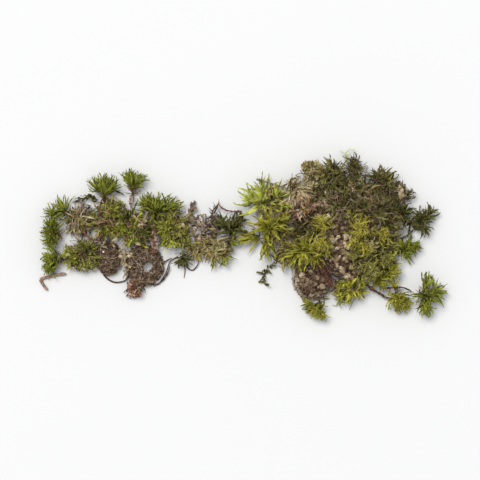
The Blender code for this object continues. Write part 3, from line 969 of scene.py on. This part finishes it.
thin_blades = blades("thin_blade", 10, 0.12, (10, 160), 80, 140, 0.02, 0.3, 500, stations=5)
wide_blades = blades("wide_blade", 12, 0.15, (10, 180), 90, 140, 0.04, 0.35, 450, stations=6)
scraps = blades("scrap", 8, 0.42, (20, 140), 60, 120, 0.06, 0.3, 600, stations=5, widest=0.5, blunt=2.0)
tan_leaf = make_leaf("dead_tan_leaf", "6A5438", "DCD0B8",
                     ((0.0, "7C6848"), (0.4, "AC9872"), (0.8, "CCBB98"), (1.0, "DACDB2")),
                     rough=0.75, clear=0.25)
red_leaf = make_leaf("dead_red_leaf", "402418", "D0B49C",
                     ((0.0, "5A3428"), (0.4, "8C5C48"), (0.8, "B48A70"), (1.0, "CCAE96")),
                     rough=0.6, clear=0.2)
ash_leaf = make_leaf("dead_grey_leaf", "2A2018", "A89C88",
                     ((0.0, "3C3024"), (0.4, "62523E"), (0.8, "8A7A66"), (1.0, "A89A88")), rough=0.75)
mat_shoots = small_shoots("mat_shoot", few_blades, olive_leaf, 18, 3.8, 900)
long_shoots = small_shoots("long_shoot", wide_leaves, green_leaf, 20, 5.2, 940, outer=85, disorder=0.6)
curly_shoots = small_shoots("curly_shoot", curled_blades, curly_leaf, 16, 5.6, 920, outer=90, disorder=0.6)
dark_shoots = small_shoots("dark_shoot", wide_blades, dark_leaf, 13, 4.8, 950, disorder=0.7)
brown_shoots = small_shoots("brown_shoot", thin_blades, withered_leaf, 12, 4.0, 970, disorder=0.7)
SCRAPS = {"smallest": 1.4 * MM, "largest": 3.2 * MM, "disorder": 1.2, "upright": 0.2}
HAIRS = {"smallest": 3.0 * MM, "largest": 5.5 * MM, "disorder": 0.9, "upright": 0.2}
LONG_LEAVES = {"smallest": 3.2 * MM, "largest": 5.6 * MM, "disorder": 1.4, "upright": 0.1}
SHORT_LEAVES = {"smallest": 1.8 * MM, "largest": 3.4 * MM, "disorder": 1.2, "upright": 0.1}
LITTER = [(brown_shoots, withered_leaf, 0.08, {}), (scraps, tan_leaf, 0.16, {**SCRAPS, "lift": 1.5 * MM}),
          (thin_blades, red_leaf, 0.3, {**HAIRS, "lift": 1.0 * MM}), (thin_blades, withered_leaf, 0.5, HAIRS)]


# what lies across a mat, its radius in mm, its material
DEAD_STEMS = (
    ("dead_stems", 0.15, brown_thread), ("dark_stems", 0.17, dark_thread), ("straws", 0.1, pale_thread),
)


def grow_mat(node, layers, seed, base=felt, shrink=1.3 * MM, fibres=14, avoid=None, more=()):
    """A mat in the room of its CAD solid: a felt body with layers strewn over it and dead stems across it.
    A layer is its kinds, its material, the count per square millimetre, and settings that differ from the
    usual. The rule called avoid picks the spots that stems keep off."""
    body = roughened(node, f"{node}_felt", base, shrink=shrink, levels=2, seed=seed)
    meshes = [body.data]
    for number, (kinds, leaf, per_mm2, manner) in enumerate(layers):
        cover_where(body.data, node, manner.get("rule"))
        usual = {key: value for key, value in manner.items() if key != "rule"}
        meshes.append(strew(f"{node}_layer_{number}", body.data, kinds, leaf, per_mm2, seed * 7 + number,
                            **usual))
    routes = crawl(node, fibres, 12, 0.6 * MM, 0.35, 1.6 * MM, seed, avoid)
    for first, (part, radius, bark) in enumerate(DEAD_STEMS):
        meshes.append(threads(f"{node}_{part}", routes[first::3], radius * MM, bark))
    mesh = joined(f"{node}_mat", [*meshes, *more])
    bpy.data.objects.remove(body)
    leave(f"{node}_mat", settle(mesh), node)


def back_edge(x, y, z):
    """Hairs keep off the far edge of the round-leaved moss."""
    return 1.0 if y < 0.5 else 0.05


def near_edge(x, y, z):
    """Moss keeps off the near edge of a mat."""
    return 1.0 if y > 0.4 else 0.1


grow_mat("green_mat_upper", [
    (mat_shoots, olive_leaf, 0.16, {}), (long_shoots, green_leaf, 0.06, {}),
    (wide_leaves, olive_leaf, 0.9, LONG_LEAVES), *LITTER,
], 20, fibres=40)
grow_mat("green_mat_lower", [
    (mat_shoots, green_leaf, 0.3, {}), (long_shoots, deep_leaf, 0.03, {"rule": near_edge}),
    (long_shoots, green_leaf, 0.06, {"rule": near_edge}),
    (wide_leaves, olive_leaf, 1.2, {**LONG_LEAVES, "rule": near_edge}),
    (wide_leaves, green_leaf, 0.6, SHORT_LEAVES), *LITTER[:2],
], 21, fibres=30)
grow_mat("green_mat_middle", [
    (mat_shoots, green_leaf, 0.16, {}), (long_shoots, green_leaf, 0.1, {}),
    (wide_leaves, green_leaf, 0.9, LONG_LEAVES), *LITTER,
], 22, fibres=40, more=tuft_meshes("green_mat_middle", [
    ((0.75, 0.7, 0.8), -80, 40, 24, 6.4, 60, 10), ((0.3, 0.9, 0.8), 120, 40, 24, 6.0, 70, 10),
], wavy_blades, deep_leaf, red_stem, 28))
grow_mat("olive_mat", [
    (mat_shoots, olive_leaf, 0.15, {}), (long_shoots, green_leaf, 0.05, {}),
    (long_shoots, olive_leaf, 0.05, {}), (wide_leaves, olive_leaf, 1.0, LONG_LEAVES), *LITTER[:2],
], 23, fibres=24)
grow_mat("yellow_green_mat", [
    (mat_shoots, pale_leaf, 0.25, {"smallest": 0.45, "largest": 0.8}),
    (few_blades, pale_leaf, 1.6, SHORT_LEAVES), (few_blades, curly_leaf, 1.2, SHORT_LEAVES),
    (thin_blades, withered_leaf, 0.8, HAIRS),
], 24, more=tuft_meshes("yellow_green_mat", [
    ((0.95, 0.8, 0.6), 10, 25, 14, 5.0, 60, 10), ((0.85, 0.3, 0.6), -80, 20, 9, 5.4, 40, 10),
    ((0.62, 0.2, 0.6), -95, 20, 9, 5.0, 40, 10), ((0.0, 0.7, 0.7), 160, 30, 20, 4.6, 80, 10),
], wide_leaves, green_leaf, red_stem, 29))
grow_mat("leafy_mat_bottom", [
    (curly_shoots, yellow_leaf, 0.22, {"largest": 0.85, "rule": near_edge}),
    (mat_shoots, green_leaf, 0.3, {"largest": 0.9, "rule": near_edge}),
    (few_blades, yellow_leaf, 1.2, {**LONG_LEAVES, "rule": near_edge}),
    (few_blades, green_leaf, 1.0, SHORT_LEAVES),
    (thin_blades, withered_leaf, 0.25, {**HAIRS, "rule": near_edge}),
], 25, shrink=1.6 * MM, fibres=12, avoid=lambda x, y, z: y < 0.3)
# node, how far its body is drawn in (mm), how far back the long leaves grow
for number, (node, shrink, reach) in enumerate((
    ("dark_mat_left", 2.2, 0.55), ("dark_mat_top", 2.5, 0.15), ("dark_mat_right", 2.5, 0.5),
)):
    rule = {"rule": lambda x, y, z, reach=reach: 1.0 if y < reach else 0.0}
    grow_mat(node, [
        (wide_leaves, deep_leaf, 1.3, {**LONG_LEAVES, "largest": 6.4 * MM, **rule}),
        (wide_leaves, dark_leaf, 1.0, {**LONG_LEAVES, **rule}),
        (wide_leaves, dark_leaf, 0.9, SHORT_LEAVES), (wide_leaves, deep_leaf, 0.9, SHORT_LEAVES),
        (wide_leaves, olive_leaf, 0.3, {**LONG_LEAVES, **rule}),
    ], 30 + number, shrink=shrink * MM, fibres=9, avoid=lambda x, y, z: y > 0.6)
for number, node in enumerate(("dark_mat_middle", "dark_mat_low")):
    grow_mat(node, [
        (wide_leaves, dark_leaf, 1.0, LONG_LEAVES), (wide_leaves, deep_leaf, 1.0, LONG_LEAVES),
        (scraps, ash_leaf, 0.3, SCRAPS), (thin_blades, ash_leaf, 0.2, HAIRS),
        (thin_blades, red_leaf, 0.1, HAIRS),
    ], 34 + number, shrink=1.9 * MM, fibres=15)


def off_bare_earth(x, y, z):
    """How thickly moss grows on the clod: not at all on its bare middle and front."""
    bare = abs(x - 0.46) < 0.27 + 0.04 * math.sin(9 * y) and y < 0.8
    return 0.0 if bare else 1.0


def near_corner(x, y, z):
    """The yellow-green moss that joins the mats at the clod's near right corner."""
    return 1.0 if x > 0.62 + 0.6 * y and y < 0.32 else 0.0


ground = roughened("soil_clod", "clod_ground", felt, shrink=0.4 * MM, levels=2, seed=3)
cover_where(ground.data, "soil_clod", off_bare_earth)
covers = [
    strew("clod_dark_leaves", ground.data, wide_leaves, dark_leaf, 0.7, 81, slope=0.1, **LONG_LEAVES),
    strew("clod_deep_leaves", ground.data, wide_leaves, deep_leaf, 0.5, 85, slope=0.1, **LONG_LEAVES),
    strew("clod_brown_moss", ground.data, brown_shoots, withered_leaf, 0.04, 82),
    strew("clod_olive_moss", ground.data, few_blades, olive_leaf, 0.4, 83, **SHORT_LEAVES),
    strew("clod_scraps", ground.data, scraps, ash_leaf, 0.15, 84, **SCRAPS),
    strew("clod_hairs", ground.data, thin_blades, withered_leaf, 0.2, 86, slope=0.1, **HAIRS),
]
cover_where(ground.data, "soil_clod", near_corner)
covers += [
    strew("corner_curls", ground.data, curly_shoots, yellow_leaf, 0.2, 87),
    strew("corner_shoots", ground.data, mat_shoots, green_leaf, 0.1, 89),
    strew("corner_leaves", ground.data, few_blades, yellow_leaf, 0.9, 88, **LONG_LEAVES),
]
cover = joined("clod_cover_moss", covers)
bpy.data.objects.remove(ground)
leave("clod_cover_moss", settle(cover), None)

# ---------------------------------------------------------------------------------------------
# Round-leaved moss: tiny sprigs with blunt spoon-shaped leaves, olive on the clod's upper left corner and
# red-brown and dead under the strand.
round_blades = blades("round_blade", 8, 0.62, (10, 80), 30, 40, 0.03, 0.15, 550, stations=6, widest=0.6,
                      blunt=3.0)
spoon_leaf = make_leaf("spoon_moss_leaf", "4A3C20", "D2C8A0",
                       ((0.0, "665A30"), (0.4, "948650"), (0.8, "B6A874"), (1.0, "D0C49A")), rough=0.55)
round_sprigs = small_shoots("round_sprig", round_blades, spoon_leaf, 9, 2.7, 560, outer=80, inner=25)
SPRIGS = {"lift": 0.6 * MM, "smallest": 0.8, "largest": 1.3}
grow_mat("round_leaf_shoots", [
    (round_sprigs, spoon_leaf, 0.42, {**SPRIGS, "rule": lambda x, y, z: 1.0 if y < 0.5 + 0.5 * x else 0.05}),
    (thin_blades, withered_leaf, 0.4, {**HAIRS, "rule": back_edge}),
    (wide_blades, dark_leaf, 0.5, SHORT_LEAVES),
], 36, shrink=2.4 * MM, fibres=12, avoid=lambda x, y, z: y > 0.6)
grow_mat("red_round_leaves", [
    (round_sprigs, red_leaf, 0.5, {**SPRIGS, "largest": 1.0}), (scraps, tan_leaf, 0.3, SCRAPS),
    (wide_blades, olive_leaf, 0.4, SHORT_LEAVES)], 37, shrink=1.8 * MM, fibres=12)

# ---------------------------------------------------------------------------------------------
# Dead leaves and litter: tan and red-brown scraps, curled and torn, caught in the moss, and the fan of a
# dry frond whose leaves have shrunk to hairs.
straw = make_stem("dry_straw", "8A7254", "C4B08C")
twig_bark = make_stem("dry_twig_bark", "5A4A3C", "9C8870")
pink_bark = make_stem("pale_pink_bark", "6A5044", "AE9480")
frond_leaf = make_leaf("dry_frond_leaf", "8A7048", "ECE0C0",
                       ((0.0, "A48E60"), (0.5, "CEBA8E"), (1.0, "E6D8B4")), rough=0.75)
hair_blades = blades("hair_blade", 10, 0.1, (-20, 80), 50, 60, 0.02, 0.3, 650, stations=5)
frond = tuft_meshes("dry_frond", [
    ((0.3, 0.8, 1.0), -40, 15, 120, 7.6, 78, 5), ((0.3, 0.6, 0.9), -100, 20, 60, 6.0, 70, 5),
    ((0.2, 0.9, 0.9), 100, 30, 24, 3.8, 70, 10),
], hair_blades, frond_leaf, straw, 68)
straw_felt = make_soil("straw_felt", ((0.0, "3A2C1C"), (0.5, "6E5A3C"), (1.0, "A08A62")), 0.6 * MM)
grow_mat("dead_leaf_edge", [
    (scraps, tan_leaf, 0.7, SCRAPS), (dark_shoots, dark_leaf, 0.3, {}),
], 61)
grow_mat("dry_frond", [
    (thin_blades, frond_leaf, 0.8, HAIRS),
], 62, base=straw_felt, shrink=1.8 * MM, more=frond)
grow_mat("red_dead_leaves", [
    (scraps, red_leaf, 0.7, SCRAPS), (thin_blades, red_leaf, 1.0, HAIRS), (scraps, tan_leaf, 0.3, SCRAPS),
    (scraps, withered_leaf, 0.6, SCRAPS),
], 63)
grow_mat("dead_leaf_mass", [
    (scraps, tan_leaf, 0.4, SCRAPS), (thin_blades, tan_leaf, 0.8, HAIRS),
    (thin_blades, withered_leaf, 1.0, HAIRS), (mat_shoots, green_leaf, 0.26, {"largest": 0.9}),
], 64, fibres=40)
tangle_routes = crawl("grey_tangle", 26, 14, 0.7 * MM, 0.6, 0.8 * MM, 66)
tangle_ground = roughened("grey_tangle", "tangle_ground", felt, shrink=1.0 * MM, levels=1)
tangle = joined("grey_tangle_threads", [
    threads("tangle_brown", tangle_routes[::3], 0.3 * MM, pink_bark),
    threads("tangle_dark", tangle_routes[1::3], 0.26 * MM, dark_thread),
    threads("tangle_pale", tangle_routes[2::3], 0.2 * MM, pale_thread),
    strew("tangle_scraps", tangle_ground.data, scraps, tan_leaf, 0.1, 67, **SCRAPS),
    strew("tangle_curls", tangle_ground.data, wide_blades, withered_leaf, 0.12, 69, **LONG_LEAVES),
])
bpy.data.objects.remove(tangle_ground)
leave("grey_tangle_threads", settle(tangle), "grey_tangle")


def strands(node, count, starts, ends, arch, stray, seed):
    """Loose strands side by side: each runs from one place to another as shares of a solid's box, strays from
    its neighbours and arches up in the middle, by lengths in millimetres."""
    rng = random.Random(seed)
    routes = []
    for _ in range(count):
        start, end = spot(node, starts), spot(node, ends)
        legs = [start.lerp(end, share) for share in (0.0, 0.3, 0.65, 1.0)]
        legs = [leg + Vector([rng.gauss(0, stray) for _ in range(3)]) * MM for leg in legs]
        legs[1].z += arch * rng.uniform(0.3, 1.0) * MM
        legs[2].z += arch * rng.uniform(0.3, 1.0) * MM
        routes.append(eased(legs, 5))
    return routes


bundle = joined("red_stem_bundle_stems", [
    threads("bundle_red", strands("red_stem_bundle", 12, (0.1, 1.1, 0.6), (0.7, -0.3, 0.3), 1.2, 1.1, 65),
            0.16 * MM, red_stem),
    threads("bundle_dark", strands("red_stem_bundle", 6, (0.3, 1.0, 0.5), (1.0, 0.0, 0.3), 0.8, 1.0, 66),
            0.16 * MM, dark_thread),
])
leave("red_stem_bundle_stems", settle(bundle), "red_stem_bundle")
bedding = []
for number, node in enumerate(("bright_rosette_upper", "bright_rosette_lower", "star_rosette")):
    bed = roughened(node, f"{node}_bed", felt, shrink=1.8 * MM, levels=2, seed=number)
    if node != "star_rosette":
        cover_where(bed.data, node, lambda x, y, z: 1.0 if x > 0.45 + 0.2 * y else 0.1)
    for part, kinds, leaf, per_mm2, salt, manner in (
        ("leaves", wide_blades, olive_leaf, 0.8, 44, LONG_LEAVES),
        ("hairs", thin_blades, withered_leaf, 1.4, 47, HAIRS),
        ("scraps", scraps, withered_leaf, 0.3, 41, SCRAPS),
    ):
        bedding.append(strew(f"{node}_bed_{part}", bed.data, kinds, leaf, per_mm2, salt + number, **manner))
    bpy.data.objects.remove(bed)
bedding = joined("rosette_litter", bedding)
leave("rosette_litter", settle(bedding), None)
pebble("pale_pebble", "soil_lobe", (0.76, 0.37, 0.85), 1.7, pale_stone, 3)
pebble("grey_pebble", "soil_lobe", (0.6, 0.6, 0.9), 1.7, pale_stone, 8)
pebble("dark_lump", "star_rosette", (0.06, 0.38, 0.3), 4.0, rooty_soil, 5)
pebble("stem_knot", "stem_middle_tuft", (0.15, 0.8, 1.0), 1.3, red_stem, 9)

# ---------------------------------------------------------------------------------------------
# Stems: wiry and knotted, red-brown to nearly black, with the scales and feet of fallen leaves on them.
# Each follows its CAD tube. The fallen sprig still has its small dark leaves.
dark_stem = make_stem("dark_moss_stem", "2A201A", "5E4A3E")
KNOB_STOPS = ((0.0, "46302A"), (0.5, "74564A"), (0.85, "92776A"), (1.0, "B6A090"))
knobs = make_grain("leaf_foot_knobs", KNOB_STOPS, 0.7)
STEM_KNOTS = ((0.9 * MM, 0.2 * MM), (0.4 * MM, 0.12 * MM))
SCALE_LEAVES = {"smallest": 0.6 * MM, "largest": 1.3 * MM, "disorder": 1.6, "upright": 0.0, "slope": -0.9}
SMALL_LEAVES = {"smallest": 1.6 * MM, "largest": 2.8 * MM, "disorder": 0.9, "upright": 0.0, "slope": -0.5}
TINY_LEAVES = {**SMALL_LEAVES, "smallest": 1.2 * MM}
KNOBS = {"smallest": 0.5 * MM, "largest": 1.1 * MM, "disorder": 2.0, "slope": -0.9}
FINE_KNOBS = {**KNOBS, "largest": 0.8 * MM}
# node, slot, bark, how far the tube is drawn in (mm), leaves, their material, count per mm2, their sizes
STEMS = (
    ("stem_middle_tuft", "red_stem", dark_stem, 0.2, crumbs, knobs, 0.8, FINE_KNOBS),
    ("stem_right_tuft", "red_stem", dark_stem, 0.2, scraps, withered_leaf, 0.4, SCALE_LEAVES),
    ("stem_dark_side", "red_stem", dark_stem, 0.2, scraps, withered_leaf, 0.3, SCALE_LEAVES),
    ("link_stem", "red_stem", red_stem, 0.15, crumbs, knobs, 0.8, FINE_KNOBS),
    ("stem_tall_tuft", "red_stem", pink_bark, 0.35, crumbs, knobs, 2.2, KNOBS),
    ("bent_dead_stalk", "red_stem", pink_bark, 0.0, scraps, tan_leaf, 0.2, SCALE_LEAVES),
    ("red_brown_stem", "red_stem", red_stem, 0.05, crumbs, knobs, 2.4, KNOBS),
    ("wiry_stem", "red_stem", dark_stem, 0.15, scraps, red_leaf, 0.1, SCALE_LEAVES),
    ("dead_branching_stem", "red_stem", red_stem, 0.1, scraps, ash_leaf, 1.2, SMALL_LEAVES),
    ("fallen_sprig", "red_stem", twig_bark, 0.72, scraps, deep_leaf, 2.2, TINY_LEAVES),
    ("grass_twig", "dead_leaf", twig_bark, 0.14, scraps, tan_leaf, 0.2, SCALE_LEAVES),
    ("pale_strap", "dead_leaf", pale_thread, 0.3, scraps, tan_leaf, 1.2, SMALL_LEAVES),
)
for number, (node, slot, bark, drawn_in, kinds, leaf, per_mm2, manner) in enumerate(STEMS):
    tube = roughened(node, f"{node}_tube", bark, drawn_in * MM, STEM_KNOTS, 2, number)
    scales = strew(f"{node}_scales", tube.data, kinds, leaf, per_mm2, 90 + number, **manner)
    leave(f"{node}_bark", joined(f"{node}_bark", [tube.data, settle(scales)]), node)
    bpy.data.objects.remove(tube)

# ---------------------------------------------------------------------------------------------
# Loose ends: bare runners, roots and hairs that stick out of the clump, and the twigs on top of the
# strand. Each is a thin wire through a few places near the piece that it grows from.
# name, piece it grows from, radius in mm, material, its places as shares of that piece's box
WIRES = (
    ("left_tuft_stem", "tall_tuft_left", 0.3, dark_stem,
     ((0.5, 0.2, 0.4), (0.56, -0.28, 0.34), (0.5, -0.63, 0.34))),
    ("pink_twig", "dead_leaf_mass", 0.32, red_stem,
     ((0.66, 0.09, 1.2), (0.82, -0.15, 1.31), (1.14, -0.31, 1.25), (1.45, -0.03, 1.2))),
    ("pink_twig_fork", "dead_leaf_mass", 0.25, red_stem,
     ((1.1, -0.3, 1.2), (1.25, -0.33, 1.25), (1.41, -0.35, 1.2))),
    ("under_runner", "grainy_clod", 0.3, dark_stem,
     ((0.18, 0.26, 0.18), (0.34, -0.05, 0.11), (0.7, -0.23, 0.11), (1.11, -0.2, 0.11), (1.31, -0.05, 0.18))),
    ("root_loop", "dark_shoot_low", 0.22, dark_stem,
     ((0.78, 0.31, 0.25), (0.89, -0.07, 0.15), (1.16, -0.19, 0.15), (1.43, 0.18, 0.25), (1.48, 0.62, 0.37))),
    ("trailing_root", "dark_shoot_low", 0.18, brown_thread,
     ((0.62, 0.31, 0.25), (0.73, -0.19, 0.12), (0.68, -0.68, 0.1))),
    ("bottom_hair", "leafy_mat_bottom", 0.1, brown_thread,
     ((0.7, 0.27, 0.31), (0.61, -0.02, 0.23), (0.52, -0.36, 0.15))),
    ("link_fork", "link_stem", 0.22, dark_stem,
     ((0.73, 0.19, 0.1), (0.63, -0.34, 0.1), (0.6, -0.87, 0.1))),
    ("corner_runner", "dense_tuft_corner", 0.25, dark_stem,
     ((0.49, 1.16, 0.27), (0.73, 0.81, 0.27), (0.97, 0.47, 0.18))),
    ("corner_root", "dense_tuft_corner", 0.2, brown_thread,
     ((1.01, 1.24, 0.18), (1.03, 0.81, 0.18), (1.01, 0.42, 0.18))),
    ("long_runner", "wiry_stem", 0.22, dark_stem,
     ((-0.29, 0.17, 0.2), (0.29, 0.17, 0.2), (0.71, 0.64, 0.41), (0.92, 1.12, 0.41), (1.34, 1.38, 0.72))),
    ("tall_stem_foot", "stem_tall_tuft", 0.5, pink_bark,
     ((0.6, 0.1, 0.5), (0.85, -0.12, 1.6), (1.6, -0.38, 2.0), (2.6, -0.6, 2.0))),
    ("middle_tuft_foot", "hanging_tuft_middle", 0.35, dark_stem,
     ((-0.2, 0.58, 0.4), (0.1, 0.52, 0.45), (0.42, 0.55, 0.5))),
    ("middle_stem_root", "stem_middle_tuft", 0.4, dark_stem,
     ((0.15, 0.8, 0.8), (-0.15, 1.1, 1.0), (-0.5, 1.5, 1.2))),
    ("short_runner", "wiry_stem", 0.25, dark_stem,
     ((0.45, 0.95, 0.41), (0.71, 1.16, 0.41), (1.03, 1.29, 0.72))),
)
for name, node, radius, bark, places in WIRES:
    line = line_through(node, *places)
    leave(name, threads(name, [line], radius * MM, bark, taper=0.4, sides=2), None)
sprig_line = line_through("tall_tuft_left", (0.28, 0.0, 0.4), (0.03, 0.11, 0.41), (-0.22, 0.04, 0.34),
                          (-0.41, -0.04, 0.27))
sprig = leafy("round_leaf_sprig", [sprig_line], round_blades, deep_leaf, dark_stem, 22, 1.9, 65, 45, 99,
              small=0.8)
leave("round_leaf_sprig", settle(sprig), None)
knee_line = line_through("grey_tangle", (0.95, 0.75, 1.0), (0.8, 0.95, 1.1), (0.8, 1.2, 1.0),
                         (0.98, 1.45, 0.8))
fragment = leafy("knee_fragment", [knee_line], wide_leaves, ash_leaf, dark_stem, 20, 2.6, 70, 50, 95,
                 radius=0.25, small=0.8, disorder=0.6)
leave("knee_fragment", settle(fragment), None)
stray_line = [spot("tall_tuft_left", place) for place in ((0.66, 0.42, 0.5), (0.8, 0.36, 0.5))]
stray_leaf = leafy("stray_leaf", [stray_line], wide_leaves, deep_leaf, dark_stem, 2, 4.4, 8, 4, 94,
                   radius=0.15, small=1.0)
leave("stray_leaf", settle(stray_leaf), None)
# name, piece it lies on, its foot as shares of that piece's box, size in mm, bearing and rise in degrees
TORN_LEAVES = (
    ("torn_beige_leaf", "green_mat_middle", (0.75, 0.75, 1.05), 4.6, 50, 15),
    ("torn_pale_leaf", "stem_tall_tuft", (0.0, 0.1, 2.0), 3.0, 200, 25),
    ("torn_tan_strip", "dead_leaf_mass", (0.45, 0.15, 1.1), 5.6, 105, 20),
    ("torn_white_bit", "grainy_clod", (0.2, 0.85, 1.0), 3.0, 10, 10),
    ("torn_grey_bit", "grainy_clod", (0.6, 1.0, 1.0), 3.4, -30, 20),
    ("torn_edge_leaf", "dead_leaf_edge", (0.55, 0.3, 1.5), 4.2, 70, 15),
    ("torn_edge_bit", "dead_leaf_edge", (0.3, 0.7, 1.5), 3.4, 10, 15),
)
for number, (name, node, foot, size, bearing, rise) in enumerate(TORN_LEAVES):
    start = spot(node, foot)
    foot_line = [start, start + heading(bearing, rise) * 0.3 * MM]
    mesh = leafy(name, [foot_line], scraps, tan_leaf, pale_thread, 2, size, 6, 4, 120 + number, radius=0.1,
                 small=0.7)
    leave(name, settle(mesh), None)
wisp_lines = [
    line_through("dark_mat_top", (0.23, 0.61, 0.5), (0.2, 0.86, 0.45), (0.34, 1.03, 0.4), (0.6, 1.0, 0.4)),
    line_through("dark_mat_top", (0.25, 0.7, 0.5), (0.2, 0.86, 0.45), (0.05, 0.96, 0.4)),
]
wisp_leaf = make_leaf("pale_new_moss_leaf", "9CA84C", "EEF0BC",
                      ((0.0, "AEBA52"), (0.5, "CCD67C"), (1.0, "E2E8A6")))
wisp_stem = make_stem("pale_new_moss_stem", "9CA658", "CCD290")
wisps = leafy("pale_wisps", wisp_lines, slim_blades, wisp_leaf, wisp_stem, 12, 2.0, 60, 30, 98, radius=0.13)
leave("pale_wisps", wisps, None)
loose_shoot = [((0.2, 0.35, 0.25), -80, 5, 3, 5.6, 14, 6)]
loose_leaf = tuft_meshes("leafy_mat_bottom", loose_shoot, wavy_blades, green_leaf, red_stem, 97)
loose_leaf = joined("hanging_leaf", loose_leaf)
leave("hanging_leaf", settle(loose_leaf), None)
